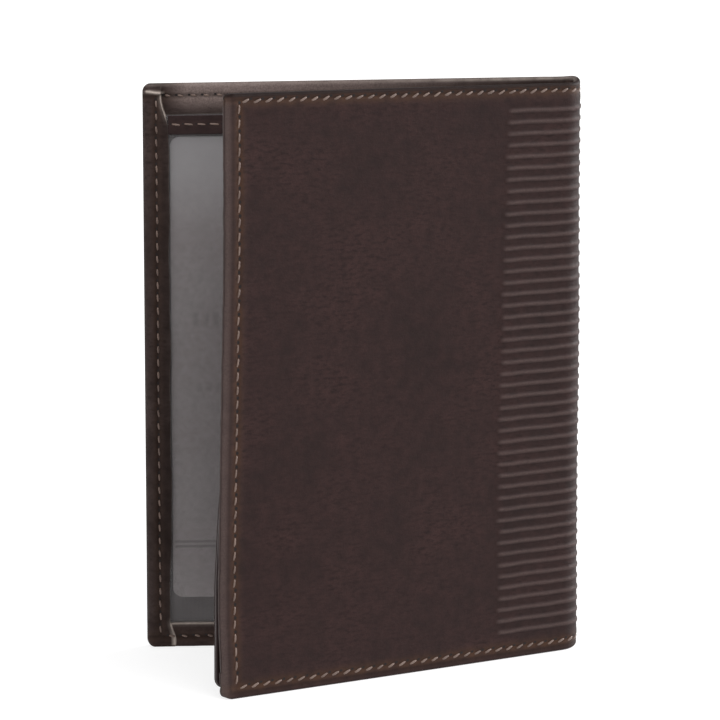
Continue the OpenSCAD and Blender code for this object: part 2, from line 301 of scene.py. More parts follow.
class Look:
    """A material, with short ways to add nodes. Its textures follow the flat leather, in
    millimetres."""

    def __init__(self, name, **values):
        self.material = bpy.data.materials.new(name)
        self.material.use_nodes = True
        self.tree = self.material.node_tree
        self.shader = self.tree.nodes["Principled BSDF"]
        for key, value in values.items():
            self.shader.inputs[key.replace("_", " ")].default_value = value
        self.place = self.attribute("flat", "Vector")

    def node(self, kind, settings=None, **inputs):
        made = self.tree.nodes.new("ShaderNode" + kind)
        for key, value in (settings or {}).items():
            setattr(made, key, value)
        for key, value in inputs.items():
            socket = made.inputs[int(key[1:])] if key[1:].isdigit() else made.inputs[key]
            if isinstance(value, bpy.types.NodeSocket):
                self.tree.links.new(value, socket)
            else:
                socket.default_value = value
        return made

    def attribute(self, name, output="Fac"):
        return self.node("Attribute", {"attribute_name": name}).outputs[output]

    def stretch(self, scale):
        return self.node("Mapping", Vector=self.place, Scale=scale).outputs["Vector"]

    def noise(self, scale, detail=3.0, vector=None, roughness=0.55):
        return self.node("TexNoise", Vector=vector or self.place, Scale=scale, Detail=detail,
                         Roughness=roughness).outputs["Fac"]

    def ranged(self, value, low, high, to_low=0.0, to_high=1.0):
        return self.node("MapRange", Value=value, _1=low, _2=high, _3=to_low, _4=to_high).outputs[0]

    def math(self, operation, a, b):
        return self.node("Math", {"operation": operation}, _0=a, _1=b).outputs[0]

    def plus(self, a, b):
        return self.math("ADD", a, b)

    def times(self, a, b):
        return self.math("MULTIPLY", a, b)

    def mix(self, share, a, b):
        made = self.node("Mix", {"data_type": "RGBA"}, _0=share)
        for index, value in ((6, a), (7, b)):
            if isinstance(value, bpy.types.NodeSocket):
                self.tree.links.new(value, made.inputs[index])
            else:
                made.inputs[index].default_value = (*value, 1)
        return made.outputs[2]

    def set(self, socket, value):
        self.tree.links.new(value, self.shader.inputs[socket])

    def bump(self, *layers):
        """Each layer is (height, strength, distance in metres)."""
        normal = None
        for height, strength, distance in layers:
            made = self.node("Bump", Height=height, Strength=strength, Distance=distance)
            if normal is not None:
                self.tree.links.new(normal, made.inputs["Normal"])
            normal = made.outputs["Normal"]
        self.set("Normal", normal)


def dimmed(colour, share):
    return tuple(c * share for c in colour)


# A lighter colour for cut edges, and for highlights painted on rims, pleats and upward edges
EDGE_AND_HIGHLIGHT = (0.48, 0.41, 0.365)
INK = (0.12, 0.10, 0.105)


def leather_look(name, dark, light, warm, wear_and_sheen, roughness=(0.5, 0.66), specular=0.12):
    """Smooth waxed leather: mottled, finely grained and wrinkled. Masks turn it warmer by the
    seams, lighter on the ribs' crests (wear and a painted sheen) and with painted highlights on
    rims and hems, dark with painted shade in grooves, creases and on shaded rims, and lighter at
    cut edges, partly as a painted highlight."""
    look = Look(name, Specular_IOR_Level=specular)
    clouds = look.noise(0.045, 4.0)
    spots = look.noise(0.32, 4.0, roughness=0.62)
    fine = look.noise(2.6, 3.0)
    tone = look.ranged(look.plus(look.times(clouds, 0.6), look.times(spots, 0.5)), 0.40, 0.72)
    colour = look.mix(tone, dark, light)
    colour = look.mix(look.ranged(fine, 0.35, 0.75, 0.0, 0.35), colour, dimmed(dark, 0.62))
    grain = look.noise(0.95, 3.5, look.stretch((0.50, 1.35, 1.0)), 0.6)
    wrinkled = look.times(look.ranged(grain, 0.47, 0.68, 0.0, 0.8),
                          look.ranged(clouds, 0.38, 0.62, 0.25, 1.0))
    colour = look.mix(wrinkled, colour, dimmed(dark, 0.66))
    seam = look.times(look.attribute("seam"), look.ranged(spots, 0.35, 0.65, 0.35, 1.0))
    colour = look.mix(look.times(seam, 0.85), colour, warm)
    # Lighter: wear and a painted sheen on the ribs' crests, painted highlights on rims and the
    # upper hem
    crest = look.times(look.attribute("crest"), look.ranged(fine, 0.3, 0.7, 0.35, 0.75))
    colour = look.mix(crest, colour, wear_and_sheen)
    # Darker: painted shade in grooves, creases, between the ribs and on shaded rims and hems
    groove = look.times(look.attribute("groove"), 0.7)
    colour = look.mix(groove, colour, dimmed(dark, 0.35))
    # Lighter cut edges, with painted highlights on upward edges, pleats and top rims
    edge_and_highlight = look.times(look.attribute("edge_and_highlight"), look.ranged(spots, 0.3, 0.62, 0.45, 1.0))
    colour = look.mix(edge_and_highlight, colour, EDGE_AND_HIGHLIGHT)
    look.set("Base Color", colour)
    look.set("Roughness", look.ranged(look.noise(0.9, 4.0), 0.3, 0.7, *roughness))
    pores = look.node("TexVoronoi", {"feature": "F1"}, Vector=look.place, Scale=1.9)
    look.bump((pores.outputs["Distance"], 0.16, 0.00008), (fine, 0.22, 0.00007),
              (spots, 0.20, 0.00025), (grain, 0.32, 0.0003))
    return look.material


def cloth_look(name, colour, light):
    """Fine plain-woven lining."""
    look = Look(name, Roughness=0.86, Sheen_Weight=0.25)
    across, along = (look.node("TexWave", {"wave_type": "BANDS", "bands_direction": way},
                               Vector=look.place, Scale=0.95, Distortion=0.35,
                               Detail=1.0).outputs["Fac"] for way in ("X", "Y"))
    weave = look.times(across, along)
    shade = look.plus(look.times(weave, 0.6), look.times(look.noise(0.3), 0.5))
    look.set("Base Color", look.mix(look.ranged(shade, 0.15, 0.75), colour, light))
    look.bump((weave, 0.5, 0.0001), (look.noise(3.5), 0.15, 0.00005))
    return look.material


def thread_look(name):
    """Waxed twisted thread, with each stitch a little lighter or darker."""
    look = Look(name, Roughness=0.48, Sheen_Weight=0.15)
    shade = look.plus(look.times(look.attribute("shade"), 0.75), look.times(look.noise(1.5), 0.3))
    look.set("Base Color", look.mix(shade, (0.066, 0.038, 0.029), (0.160, 0.105, 0.082)))
    look.bump((look.noise(5.0), 0.3, 0.00006))
    return look.material


def card_look(name):
    """Printed card: grey stock with faint lines and blocks, painted lighter towards the top as
    light falling in from above.
    """
    look = Look(name, Roughness=0.6)
    grain = look.ranged(look.noise(0.9, 4.0), 0.3, 0.7)
    colour = look.mix(grain, (0.266, 0.232, 0.234), (0.325, 0.286, 0.288))
    # Painted light: lighter towards the top
    colour = look.mix(look.attribute("painted_top_light"), colour, (0.42, 0.405, 0.415))
    printed = look.times(look.attribute("print"), 0.65)
    look.set("Base Color", look.mix(printed, colour, INK))
    look.bump((look.noise(4.0), 0.08, 0.00004))
    return look.material


def film_look(name):
    """Clear flexible sheet, a little hazy, with soft waves. Fresnel raises its opacity at glancing
    angles, so its grey base shows there as a painted sheen, and noise in the opacity makes it
    hazier in places and paints blotches of reflection.
    """
    look = Look(name, Roughness=0.22, Base_Color=(0.53, 0.505, 0.51, 1), Specular_IOR_Level=0.6)
    glancing_sheen = look.node("Fresnel", IOR=1.45).outputs[0]
    haze_and_reflection = look.ranged(look.noise(0.09, 3.0), 0.35, 0.65, 0.03, 0.09)
    # Opacity: a painted sheen at glancing angles, with hazier places and painted reflection
    # blotches
    look.set("Alpha", look.plus(look.times(glancing_sheen, 0.8), haze_and_reflection))
    look.bump((look.noise(0.05, 2.0), 0.5, 0.002), (look.noise(0.6, 3.0), 0.05, 0.0003))
    return look.material


def plain_look(name, a, b, scale, roughness):
    """Cardboard or another matt core, with its fibres."""
    look = Look(name, Roughness=roughness)
    fibres = look.noise(scale, 5.0, look.stretch((1.0, 3.0, 1.0)))
    look.set("Base Color", look.mix(look.ranged(fibres, 0.3, 0.7), a, b))
    look.bump((fibres, 0.4, 0.0001))
    return look.material


LEATHER_OUT = leather_look("leather_outer", (0.0205, 0.0118, 0.0112), (0.0375, 0.0188, 0.0175),
                           (0.060, 0.030, 0.017), (0.085, 0.059, 0.055), specular=0.085)
LEATHER_IN = leather_look("leather_inner", (0.021, 0.0130, 0.0115), (0.054, 0.037, 0.034),
                          (0.052, 0.031, 0.023), (0.27, 0.208, 0.192), (0.42, 0.6), 0.06)
# A darker copy of the inner leather: painted shade on the window's top strip and the leaf's outer
# skin
LEATHER_IN_SHADED = leather_look("leather_inner_shaded", (0.019, 0.0105, 0.010), (0.032, 0.018, 0.0175),
                             (0.034, 0.019, 0.017), (0.05, 0.035, 0.033), (0.5, 0.65))
LINING = cloth_look("lining_cloth", (0.056, 0.046, 0.047), (0.107, 0.089, 0.090))
THREAD = thread_look("waxed_thread")
# Near black discs for the needle holes: painted shade
HOLE_SHADE = plain_look("needle_hole_shade", (0.004, 0.002, 0.002), (0.008, 0.004, 0.004), 3.0, 0.9)
BOARD = plain_look("grey_board", (0.16, 0.13, 0.10), (0.24, 0.20, 0.16), 0.8, 0.9)
CARD = card_look("printed_card")
FILM = film_look("clear_sheet")


# ---- outer leather -------------------------------------------

ribs = RIB_FIRST + RIB_PITCH * np.arange(RIB_COUNT)
rib_reach = np.interp(ribs, *RIB_REACH) + np.random.default_rng(11).normal(0, 0.22, RIB_COUNT)


def rib_field(s, z):
    """The ribs' height above the leather, and 0 to 1 on their crests, for wear and a painted
    sheen, and in between them, for painted shade.
    """
    nearest = np.clip(np.round((z - RIB_FIRST) / RIB_PITCH).astype(int), 0, RIB_COUNT - 1)
    crest = ribs[nearest] + 0.05 * wave(s, 5, 9) + 0.04 * wave(s + nearest * 17.0, 6, 14)
    u = s - CURVE
    fade = smooth((rib_reach[nearest] - u) / 1.3)
    shape = np.exp(-((z - crest) / 0.50) ** 4)
    strength = (1 + 0.12 * wave(s + nearest * 31.0, 7, 12)) * (0.65 + 0.35 * smooth((s - 3) / 8))
    # Painted shade in between the ribs
    between = fade * np.exp(-((np.abs(z - crest) - RIB_PITCH / 2) / 0.55) ** 2)
    # Wear and a painted sheen on the crests
    wear_and_sheen = np.exp(-((z - crest) / 0.42) ** 4)
    return RIB_HEIGHT * shape * fade * strength, wear_and_sheen * fade, between


def high_seam(side, s):
    """Height of the upper stitch line. The two covers' lines meet in the middle of the spine."""
    middle = (HIGH_SEAM[BACK] + HIGH_SEAM[FRONT]) / 2
    return middle + (HIGH_SEAM[side] - middle) * smooth(s / CURVE)


def seam_distance(side, s, z):
    """Distance from the stitch lines near a cover's three edges."""
    high = high_seam(side, s)
    beyond = np.maximum(0, LOW_SEAM - z) + np.maximum(0, z - high)
    return np.minimum(np.minimum(np.abs(z - LOW_SEAM), np.abs(z - high)),
                      np.abs(s - CURVE - END_SEAM[side]) + beyond)


def outer_depth(side, s, z):
    """Depth of the outer face without its rim: ribs, seam groove, crease and gentle unevenness."""
    height = rib_field(s, z)[0]
    near = seam_distance(side, s, z)
    groove = 0.16 * np.exp(-(near / 0.45) ** 2)
    u = s - CURVE
    outside = np.minimum(np.minimum(z, HEIGHT - z), LENGTH - u)
    crease = 0.07 * np.exp(-((outside - 1.25) / 0.22) ** 2)
    puff = 0.10 * np.exp(-((outside - 3.9) / 1.0) ** 2)
    uneven = 0.10 * wave2(s, z, 21 + side, 55) + 0.025 * wave2(s, z, 31 + side, 9)
    return groove + crease - puff - height - uneven


def hem_edges(side, s, z):
    """Where the turned-in leather ends: at the free edge (in s), and at the foot and top (in z)."""
    wobble = 0.14 * wave(z, 41 + side, 22)
    if side == FRONT:
        wobble = (wobble - 0.3 + 0.6 * smooth((30 - z) / 22) + 1.9 * smooth((z - 129) / 8)
                  - 1.2 * smooth((6.5 - z) / 5))
    top = TOP_HEM if side == FRONT else HEM
    return (END - HEM + wobble, HEM + 0.10 * wave(s, 51 + side, 25),
            HEIGHT - top + 0.10 * wave(s, 61 + side, 25))


def lay_hem(past, depth):
    """A leather layer's top from its cut edge on, slightly rounded there. It is absent before."""
    return np.where(past > 0.03, depth - 0.16 * np.exp(-np.maximum(past, 0) / 0.12), 0)


def pleat(s, z, a, b, width):
    """1 along a line from a to b, fading over width."""
    a, b = np.array(a, float), np.array(b, float)
    size = np.linalg.norm(b - a)
    way = (b - a) / size
    along = (s - a[0]) * way[0] + (z - a[1]) * way[1]
    across = np.abs(-(s - a[0]) * way[1] + (z - a[1]) * way[0])
    past = np.maximum(0, np.maximum(-along, along - size))
    return np.exp(-((across + past) / width) ** 2)


def inner_face(side, s, z):
    """Depth of the cover leather's inner face, and masks for its lighter cut edges with painted
    highlights, for painted shade in its grooves and on shaded hems, and for a painted highlight
    on the upper hem."""
    u = s - CURVE
    end, low, high = hem_edges(side, s, z)
    step = THICKNESS + 0.05
    if side == FRONT:
        step = (step - (step - TOP_HEM_DEPTH) * smooth((z - 137.4) / 1.4)
                * smooth((END - 0.5 - s) / 3.5))
        foot = HEM_ROOT + 2.25 * smooth((u - 2.5) / 2.5)
        head = HEM_ROOT + (TOP_HEM_DEPTH - HEM_ROOT) * smooth((u - 0.5) / 2.5)
    else:
        foot = (HEM_ROOT + 1.25 * smooth((u - 1.5) / 2.5)
                + 1.05 * smooth((u - POCKET_START + 1.8) / 2.0))
        head = foot
    layers = [np.full_like(s, LEATHER), lay_hem(low - z, foot), lay_hem(z - high, head),
              lay_hem(s - end, step)]
    depth = np.maximum.reduce(layers)
    hem = depth > LEATHER + 0.2
    # The stitch groove sinks the hem, and its mask paints shade in it
    groove = np.exp(-(seam_distance(side, s, z) / 0.6) ** 2)
    uneven = 0.07 * wave2(s, z, 71 + side, 7) + 0.05 * wave2(s, z, 72 + side, 3.2)

    # The cut edges: the free end's lies over the other two, and is only faintly lighter except near
    # its corners, where it is painted lighter as a highlight. The lower hem's edge faces up and is
    # painted lighter than the upper hem's, also a highlight.
    end_edge_and_highlight = (0.10 + 0.9 * smooth((z - 129.5) / 3) * smooth((138 - z) / 1.5)
                + 0.9 * smooth((8 - z) / 3) * smooth((z - 0.2) / 0.5))
    pale_width = 0.18 + 0.25 * smooth((5 - z) / 4)
    under = s < end - 0.03
    edge_and_highlight = np.zeros_like(s)
    for past, weight, width in ((s - end, end_edge_and_highlight, pale_width), (low - z, 0.95 * under, 0.34),
                                (z - high, 0.3 * under, 0.18)):
        fade = np.exp(-(np.maximum(past - 0.05, 0) / width) ** 2)
        edge_and_highlight = np.maximum(edge_and_highlight, weight * fade * (past > -0.06))

    if side == FRONT:
        fold = pleat(s, z, (END - 0.9, 138.1), (END - 4.6, 137.6), 0.32)
        fold2 = pleat(s, z, (END - 1.2, 1.2), (END - 4.2, 2.4), 0.35)
    else:
        fold = pleat(s, z, (END - 1.0, 138.6), (END - 3.6, 135.6), 0.35)
        fold2 = pleat(s, z, (END - 1.0, 1.3), (END - 3.6, 4.2), 0.35)
    depth = depth + hem * (0.32 * fold + 0.22 * fold2 - 0.28 * groove + uneven)

    if side == FRONT:              # painted highlight and painted shade on the hems
        top_rim_highlight = 0.14 + 0.3 * smooth(1 - u / 60)
        # Painted shade: a band just under the top rim near the spine, and the free end's hem
        top_shade = (0.4 * smooth(1 - u / 70) * smooth(s / 6)
                     * np.exp(-((HEIGHT - 2.2 - z) / 1.0) ** 4))
        end_shade = (0.6 * smooth((LENGTH - 0.4 - u) / 3.0) * smooth((136 - z) / 6)
                     * (s > end))
        groove = np.maximum(groove, np.maximum(top_shade, end_shade))
        # A painted highlight on the upper hem, growing towards the top and away from the spine
        painted_highlight = (smooth((z - high + 0.5) / 5.5) * (z > high) * smooth((end - s) / 7)
               * smooth(0.1 + u / 95))
    else:
        top_rim_highlight = 0.44 * (1 - smooth(s / 10))
        # Painted shade along the inner top rim, away from the spine's middle
        groove = np.maximum(groove, smooth(s / 10) * np.exp(-((HEIGHT - 0.5 - z) / 0.9) ** 4))
        painted_highlight = np.zeros_like(s)
    # A painted highlight just under the top of the inner rim, strongest near the spine
    edge_and_highlight = np.maximum(edge_and_highlight, top_rim_highlight * np.exp(-((HEIGHT - 0.4 - z) / 0.35) ** 2))
    # The upper pleat is painted lighter as well, a painted highlight
    return depth, np.maximum(edge_and_highlight, 0.95 * fold), groove * hem, painted_highlight


def snap(values, at, offsets):
    """Moves the nearest grid lines onto a step."""
    first = int(np.argmin(np.abs(values - at - offsets[0])))
    values[first:first + len(offsets)] = at + np.array(offsets)
    return values


def leather_cols():
    """Grid lines along a cover, close at the spine's middle, the ribs' ends and the stitches."""
    curve = np.concatenate([[0, 0.15, 0.35, 0.6, 0.95, 1.4], np.linspace(2.0, CURVE, 12)])
    flat = np.concatenate([
        np.linspace(0.9, 15.5, 16), np.linspace(16.1, 22.1, 13), np.linspace(24.5, 90.5, 25),
        [91.4, 92.0, 92.4, 92.7, 93.1, 93.6, 94.1, 94.6, 95.0, 95.3, 95.6, 95.8]])
    return np.concatenate([curve, CURVE + flat, END - RIM_STEPS[::-1]])


def leather_rows():
    """Grid lines by height: eight for each rib, and closer ones at the rims."""
    steps = np.array([-1.379, -0.92, -0.62, -0.32, 0.0, 0.32, 0.62, 0.92])
    middle = (ribs[:, None] + steps[None, :]).ravel()
    return np.concatenate([
        RIM_STEPS, [2.7, 2.9, 3.2, 3.6, 4.1, 4.8], middle,
        [135.1, 135.6, 136.1, 136.5, 136.8, 137.05, 137.3], HEIGHT - RIM_STEPS[::-1]])


def cover_leather(side, name, *nodes):
    """One half of the outer leather, from the middle of the spine to a cover's free edge."""
    cols, rows = leather_cols(), leather_rows()
    put = place(side)
    s, z, distance, share = rounded(cols, rows, CORNER)
    rim = 0.7 + 1.2 * share
    depth = outer_depth(side, s, z) * smooth(distance / 0.8) + drop(distance, rim)
    _, crest, between = rib_field(s, z)
    u = s - CURVE
    outside = np.minimum(np.minimum(z, HEIGHT - z), LENGTH - u)
    # Painted shade in the crease inside the rim, between the ribs and along the top rim
    crease_shade = 0.4 + 0.1 * smooth((LENGTH - u - 3) / 3)
    groove = np.maximum(np.exp(-((outside - 1.4) / 0.36) ** 2) * crease_shade, 0.18 * between)
    groove = np.maximum(groove, np.exp(-((HEIGHT - 0.3 - z) / 0.5) ** 4))
    # A painted highlight along the free edge's rim, in the crest mask and faintly in the edge mask
    crest = np.maximum(crest, 0.95 * np.exp(-((LENGTH - u) / 1.6) ** 2) * smooth((HEIGHT - z) / 3))
    seam = np.exp(-(seam_distance(side, s, z) / 1.25) ** 2)
    edge_and_highlight = 0.035 * np.exp(-((LENGTH - u) / 1.1) ** 2) * smooth((HEIGHT - z) / 3) * smooth(z / 3)

    # The inner face has its own grid lines, on the cut edges of the turned-in leather
    step = [-0.3, 0.0, 0.07, 0.3]
    in_cols = snap(cols.copy(), END - HEM, step)
    hem_top = TOP_HEM if side == FRONT else HEM
    in_rows = snap(snap(rows.copy(), HEM, [-0.3, -0.07, 0.0, 0.3]), HEIGHT - hem_top, step)
    s2, z2, distance2, share2 = rounded(in_cols, in_rows, CORNER)
    end, low, high = hem_edges(side, s2, z2)
    near_end = np.exp(-((s2 - END + HEM) / 3.0) ** 4)
    near_low = np.exp(-((z2 - HEM) / 1.2) ** 4)
    near_high = np.exp(-((z2 - HEIGHT + hem_top) / 1.2) ** 4)
    s2, z2 = (s2 + (end - END + HEM) * near_end,
              z2 + (low - HEM) * near_low + (high - HEIGHT + hem_top) * near_high)
    depth2, edge_and_highlight2, groove2, painted_highlight2 = inner_face(side, s2, z2)
    inner_rim = np.minimum(0.45 + 1.45 * share2 + 0.8 * (z2 > HEM), depth2 - 0.75)
    depth2 = depth2 - drop(distance2, np.maximum(inner_rim, 0.2))
    seam2 = np.exp(-(seam_distance(side, s2, z2) / 1.3) ** 2)

    # Outside the crest mask is for the ribs and the rim's painted highlight, inside for the painted
    # highlight on the upper hem
    obj = closed_sheet(name, put, (s, depth, z), (s2, depth2, z2), [LEATHER_OUT, LEATHER_IN],
                       {"seam": (seam, seam2), "crest": (crest, painted_highlight2), "edge_and_highlight": (edge_and_highlight, edge_and_highlight2),
                        "groove": (groove, 0.8 * groove2)})
    sheet = (s.shape[0] - 1) * (s.shape[1] - 1)
    kinds = np.zeros(len(obj.data.polygons), np.int32)
    kinds[sheet:2 * sheet] = 1     # the inner face
    obj.data.polygons.foreach_set("material_index", kinds)
    bend(obj)
    return finish_piece(obj, "outer_leather", *nodes)


# ---- layers inside the covers --------------------------------

def layer(name, put, cols, rows, depths, material, radius=0.0, ends=(1,), rim=0.0, masks=None,
          shape=None, crease=50):
    """A thin closed layer between two depths, each a number or a function of s and z. rim rounds
    its outline, and shape(s, z) adds to both depths."""
    if radius:
        s, z, distance, _ = rounded(cols, rows, radius, ends)
    else:
        s, z = np.meshgrid(cols, rows, indexing="ij")
        distance = np.minimum(np.minimum(z - rows[0], rows[-1] - z),
                              np.minimum(s - cols[0], cols[-1] - s))
    low, high = (d(s, z) if callable(d) else np.full_like(s, d) for d in depths)
    if shape is not None:
        low, high = low + shape(s, z), high + shape(s, z)
    if rim:
        low, high = low + drop(distance, rim), high - drop(distance, rim)
    fields = {key: (0.0, 0.0) for key in ("seam", "crest", "edge_and_highlight", "groove")}
    for key, mask in (masks or {}).items():
        fields[key] = (mask(s, z, distance),) * 2
    return closed_sheet(name, put, (s, low, z), (s, high, z), [material], fields, crease)


def lining(side, name, high, *nodes):
    """The textile lining, from the middle of the spine to under the hems."""
    def near(s, z):
        return LEATHER + 0.08 + (BOARD_TOP - LEATHER - 0.06) * smooth((s - CURVE - 1.0) / 2.5)

    cols = np.concatenate([np.linspace(0, CURVE, 22), CURVE + np.linspace(0.4, 6, 12),
                           CURVE + np.linspace(8, 96, 45)])
    rows = np.linspace(HEM - 0.8, high, 90)

    def top(s, z):
        return near(s, z) + 0.36

    def ripple(s, z):
        return 0.03 * wave2(s, z, 81 + side, 11) * smooth((s - CURVE) / 8)

    obj = layer(name, place(side), cols, rows, (near, top), LINING, shape=ripple)
    bend(obj)
    return finish_piece(obj, "lining_cloth", *nodes)


def stiffener(side, name, node):
    """The stiffening board between a cover's leather and its lining."""
    cols = lines(CURVE + 2.2, END - BOARD_INSET, 6, fine=BOARD_STEPS)
    rows = lines(BOARD_INSET, HEIGHT - BOARD_INSET, 6, fine=BOARD_STEPS)
    obj = layer(name, place(side), cols, rows, (LEATHER + 0.16, BOARD_TOP - 0.04), BOARD,
                radius=2.0, ends=(-1, 1), rim=0.06)
    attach(obj, "back_cover" if side == BACK else "front_cover")
    return finish_piece(obj, "board", node)


def seam_mask(position, axis, width=1.2):
    """A mask along a straight seam, across s (axis 0) or z (axis 1)."""
    def field(s, z, distance):
        return np.exp(-(((s if axis == 0 else z) - position) / width) ** 2)
    return field


# ---- stitches ------------------------------------------------

AROUND, ALONG = 8, 9               # points round a stitch, and rings along it


def stitch_run(put, start, stop, surface, out, tilt, seed, length=2.35, pitch=STITCH_PITCH,
               width=0.28, hole=0.31, hole_side=1, line=None):
    """Stitches from start to stop, each (s, z), tilted by tilt degrees. surface(s, z) is the
    leather's depth there, and line(s) a curved seam's height. out is -1 where the stitches stand
    towards the outer face, 1 towards the inside, and hole_side says which end has the needle hole.
    Returns points, flat places, shades, faces and kinds (0 thread, 1 needle hole)."""
    rng = np.random.default_rng(seed)
    start, stop = np.array(start, float), np.array(stop, float)
    total = np.linalg.norm(stop - start)
    way = (stop - start) / total
    side_way = np.array([-way[1], way[0]])
    count = max(1, int(round(total / pitch)))
    turns = np.linspace(0, 2 * math.pi, AROUND, endpoint=False)
    t = np.linspace(-1, 1, ALONG)
    flat, depth, shade, faces, kinds = [], [], [], [], []
    base = 0
    ring = np.arange(AROUND)
    nxt = np.roll(ring, -1)
    tube = [[r * AROUND + ring[k], r * AROUND + nxt[k],
             (r + 1) * AROUND + nxt[k], (r + 1) * AROUND + ring[k]]
            for r in range(ALONG - 1) for k in range(AROUND)]
    tube += [list(ring[::-1]), list((ALONG - 1) * AROUND + ring)]
    for k in range(count):
        centre = start + way * (k + 0.5) * total / count + side_way * rng.normal(0, 0.035)
        if line is not None:
            centre[1] += line(centre[0]) - start[1]
        lean = math.radians(tilt + rng.normal(0, 2.2))
        half = length / 2 * rng.uniform(0.93, 1.05)
        thick = width * rng.uniform(0.92, 1.08) * (1 - 0.30 * np.abs(t) ** 3)
        twist = 1 + 0.10 * np.cos(2 * turns[None, :] + 7.0 * t[:, None])
        a = (half * t)[:, None] + 0 * turns[None, :]
        b = thick[:, None] * twist * np.cos(turns)[None, :]
        arch = (0.26 * (1 - np.abs(t) ** 2.6) - 0.17)[:, None]
        h = arch + 0.85 * thick[:, None] * twist * np.sin(turns)[None, :]
        p = a * math.cos(lean) - b * math.sin(lean)
        q = a * math.sin(lean) + b * math.cos(lean)
        s = centre[0] + p * way[0] + q * side_way[0]
        z = centre[1] + p * way[1] + q * side_way[1]
        middle = surface(np.array([centre[0]]), np.array([centre[1]]))[0]
        flat.append(np.stack([s, z], -1).reshape(-1, 2))
        depth.append((middle + out * h).ravel())
        shade.append(np.full(ALONG * AROUND, rng.uniform(0.25, 1.0)))
        faces += [[base + i for i in f] for f in tube]
        kinds += [0] * len(tube)
        base += ALONG * AROUND

        # The needle hole at the stitch's end: a small dark disc just over the leather, painted
        # shade for the hole
        hx = hole_side * (half + 1.45 * hole)
        spot = centre + way * hx * math.cos(lean) + side_way * (hx * math.sin(lean) * 0.8)
        ring_s = spot[0] + hole * 1.25 * np.cos(turns) * way[0] + hole * np.sin(turns) * side_way[0]
        ring_z = spot[1] + hole * 1.25 * np.cos(turns) * way[1] + hole * np.sin(turns) * side_way[1]
        spots = np.stack([np.append(ring_s, spot[0]), np.append(ring_z, spot[1])], -1)
        flat.append(spots)
        depth.append(surface(spots[:, 0], spots[:, 1]) + out * 0.035)
        shade.append(np.zeros(AROUND + 1))
        faces += [[base + ring[i], base + nxt[i], base + AROUND] for i in range(AROUND)]
        kinds += [1] * AROUND
        base += AROUND + 1
    flat, depth = np.concatenate(flat), np.concatenate(depth)
    points = put(flat[:, 0], depth, flat[:, 1])
    if put.flip == (out < 0):
        faces = [f[::-1] for f in faces]
    return points, np.column_stack([flat, depth]), np.concatenate(shade), faces, kinds


def thread_piece(name, runs):
    """One object out of several runs of stitches."""
    points, flat, shade, faces, kinds = [], [], [], [], []
    base = 0
    for run in runs:
        points.append(run[0])
        flat.append(run[1])
        shade.append(run[2])
        faces += [[i + base for i in f] for f in run[3]]
        kinds += run[4]
        base += len(run[0])
    faces = [[int(i) for i in f] for f in faces]
    return make(name, np.concatenate(points), faces, [THREAD, HOLE_SHADE],
                {"flat": np.concatenate(flat), "shade": np.concatenate(shade)}, kinds, crease=60)


def cover_stitches(side, name, *nodes):
    """A cover's stitches on its outer face, and their other side on the turned-in leather."""
    put, high = place(side), HIGH_SEAM[side]
    seed = 100 if side == BACK else 200
    end = CURVE + END_SEAM[side]
    gap = 0.25

    def outer(s, z):
        return outer_depth(side, s, z)

    def inner(s, z):
        return inner_face(side, s, z)[0]

    obj = thread_piece(name, [
        stitch_run(put, (0, LOW_SEAM), (end - gap, LOW_SEAM), outer, -1, -25, seed, hole_side=-1),
        stitch_run(put, (0, high), (end - gap, high), outer, -1, -25, seed + 1, hole_side=-1,
                   line=lambda s: high_seam(side, s)),
        stitch_run(put, (end, LOW_SEAM + gap), (end, high - gap), outer, -1, 7, seed + 2,
                   length=2.2, width=0.25, hole=0.33),
        stitch_run(put, (end, LOW_SEAM + gap), (end, high - gap), inner, 1, -7, seed + 3,
                   length=1.9, width=0.24, hole=0.24),
        stitch_run(put, (CURVE + 5, LOW_SEAM), (end - 1.2, LOW_SEAM), inner, 1, 15, seed + 4,
                   length=1.5, width=0.27, hole=0.26),
        stitch_run(put, (CURVE + 5, high), (end - 1.2, high), inner, 1, 15, seed + 5,
                   length=1.5, width=0.27, hole=0.26)])
    bend(obj)
    return finish_piece(obj, "thread", *nodes)


# ---- build ---------------------------------------------------

back, front = place(BACK), place(FRONT)

cover_leather(BACK, "back_leather", "back_cover_leather", "spine_leather")
cover_leather(FRONT, "front_leather", "front_cover_leather", "spine_leather")
lining(BACK, "back_lining_cloth", HEIGHT - HEM + 0.8, "back_lining", "spine_lining")
lining(FRONT, "front_lining_cloth", HEIGHT - TOP_HEM + 0.5, "front_lining", "spine_lining")
stiffener(BACK, "back_stiffener", "back_board")
stiffener(FRONT, "front_stiffener", "front_board")
cover_stitches(BACK, "back_stitches", "back_cover_thread", "spine_thread")
cover_stitches(FRONT, "front_stitches", "front_cover_thread", "spine_thread")


# Passport pocket on the back cover
def pocket_swell(s, z):
    u = s - CURVE
    edge = np.minimum(np.minimum(z - HEM, HEIGHT - HEM - z), 92 - u)
    swell = 0.22 * smooth(edge / 25) * smooth((u - POCKET_START + 6) / 14)
    return swell + 0.05 * wave2(s, z, 91, 16) * smooth(edge / 6)


def pocket_top(s, z):
    fold = 0.16 * np.exp(-((s - CURVE - POCKET_START - 1.1) / 0.9) ** 2)
    groove = 0.12 * np.exp(-((s - pocket_row) / 0.4) ** 2)
    return POCKET_TOP + fold - groove


pocket_row = CURVE + POCKET_START + 3
pocket_cols = np.concatenate([
    lines(CURVE + POCKET_START, pocket_row + 2, 0.3, fine=MOUTH_STEPS, at_high=False),
    np.linspace(pocket_row + 3, END - POCKET_INSET, 50)])
pocket = layer("passport_pocket_panel", back, pocket_cols,
               np.linspace(POCKET_INSET, HEIGHT - POCKET_INSET, 100),
               (POCKET_DEPTH, pocket_top), LEATHER_IN, rim=0.22, shape=pocket_swell,
               masks={"seam": seam_mask(pocket_row, 0)})
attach(pocket, "back_cover")
finish_piece(pocket, "inner_leather", "passport_pocket")

